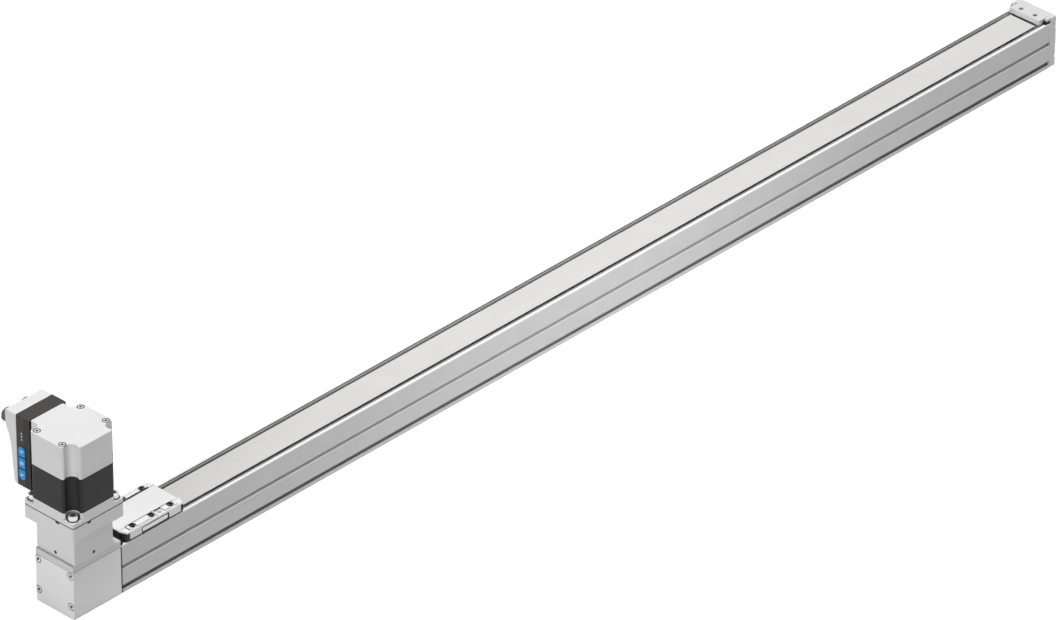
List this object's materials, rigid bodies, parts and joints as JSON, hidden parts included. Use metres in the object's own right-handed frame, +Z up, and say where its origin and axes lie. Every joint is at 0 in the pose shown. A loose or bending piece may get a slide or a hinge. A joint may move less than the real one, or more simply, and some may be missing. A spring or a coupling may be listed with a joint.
{
  "type": "belt driven linear axis",
  "caption": "Linear axis with a toothed belt drive, a low carriage on an enclosed profile, and an upright motor with integrated control electronics.",
  "frame": {"origin": "middle of the profile's flat underside, halfway between its two ends", "axes": "+X along the axis from the drive head with the motor to the end cap, +Y across it towards the electronics pod, +Z up, away from the mounting face"},
  "size_m": [1.248, 0.0963, 0.1718],
  "materials": {
    "anodised_profile": "satin",
    "housing_aluminium": "satin",
    "motor_shell": "satin",
    "stator_black": "satin",
    "pod_dark": "matte",
    "button_blue": "satin",
    "lens_clear": "gloss",
    "strip_steel": "satin",
    "steel": "satin",
    "bright_screw": "satin",
    "black_screw": "satin",
    "connector_nickel": "satin",
    "belt_rubber": "matte",
    "buffer_rubber": "matte",
    "board_green": "satin",
    "spider_red": "matte",
    "seal_green": "satin"
  },
  "bodies": {
    "axis_frame": {"profile": "anodised_profile", "guide_rail": "steel", "rail_screws": "black_screw", "cover_strip": "strip_steel", "drive_housing": "housing_aluminium", "housing_screws": "bright_screw", "top_plate": "housing_aluminium", "coupling_housing": "housing_aluminium", "coupling_housing_bolts": "black_screw", "shaft_bearings": "steel", "motor_bell": "motor_shell", "motor_stator": "stator_black", "rear_cover": "motor_shell", "rear_bearing_plate": "housing_aluminium", "motor_bearings": "steel", "motor_screws": "bright_screw", "rear_cover_screws": "bright_screw", "encoder_board": "board_green", "pod_base": "pod_dark", "pod_cover": "motor_shell", "control_board": "board_green", "tact_switches": "black_screw", "status_lenses": "lens_clear", "connectors": "connector_nickel", "end_cap": "housing_aluminium", "end_cap_screws": "bright_screw", "strip_clamp": "housing_aluminium", "strip_clamp_screws": "bright_screw", "idler_yoke": "housing_aluminium", "idler_axle": "steel", "tension_screw": "black_screw", "drive_end_buffers": "buffer_rubber", "far_end_buffers": "buffer_rubber", "belt": "belt_rubber"},
    "carriage": {"runner_block": "steel", "runner_end_caps": "seal_green", "runner_adapter": "housing_aluminium", "adapter_screws": "black_screw", "leg_screws": "black_screw", "carriage_body": "housing_aluminium", "strip_cover": "housing_aluminium", "strip_wipers": "buffer_rubber", "belt_clamp": "housing_aluminium", "clamp_plate": "steel", "belt_clamp_screws": "black_screw", "trip_plates": "steel", "trip_plate_screws": "black_screw"},
    "drive_train": {"drive_pulley": "housing_aluminium", "pulley_shaft": "steel", "lower_coupling_hub": "housing_aluminium", "coupling_spider": "spider_red", "upper_coupling_hub": "housing_aluminium", "motor_shaft": "steel", "rotor_stack": "steel", "encoder_magnet": "black_screw"},
    "idler": {"idler_pulley": "housing_aluminium", "idler_bearings": "steel"},
    "button_top": {"button_top": "button_blue"},
    "button_middle": {"button_middle": "button_blue"},
    "button_bottom": {"button_bottom": "button_blue"}
  },
  "joints": [
    {"name": "carriage_slide", "type": "slide", "parent": "axis_frame", "child": "carriage", "axis": [1, 0, 0], "range_m": [0, 1.05], "deforming": ["belt"]},
    {"name": "drive_spin", "type": "hinge", "parent": "axis_frame", "child": "drive_train", "pos_m": [-0.6195, 0, 0.0315], "axis": [0, 0, 1], "range_deg": [-1, 6305]},
    {"name": "idler_spin", "type": "hinge", "parent": "axis_frame", "child": "idler", "pos_m": [0.573, 0, 0.0315], "axis": [0, 0, 1], "range_deg": [-1, 6305]},
    {"name": "button_top_press", "type": "slide", "parent": "axis_frame", "child": "button_top", "axis": [1, 0, 0], "range_m": [0, 0.0006], "stiffness_N_per_m": 2500, "springref_m": -0.0004},
    {"name": "button_middle_press", "type": "slide", "parent": "axis_frame", "child": "button_middle", "axis": [1, 0, 0], "range_m": [0, 0.0006], "stiffness_N_per_m": 2500, "springref_m": -0.0004},
    {"name": "button_bottom_press", "type": "slide", "parent": "axis_frame", "child": "button_bottom", "axis": [1, 0, 0], "range_m": [0, 0.0006], "stiffness_N_per_m": 2500, "springref_m": -0.0004}
  ],
  "couplings": [
    {"joint": "drive_spin", "follows": "carriage_slide", "rad_per_m": 104.72},
    {"joint": "idler_spin", "follows": "carriage_slide", "rad_per_m": 104.72}
  ]
}
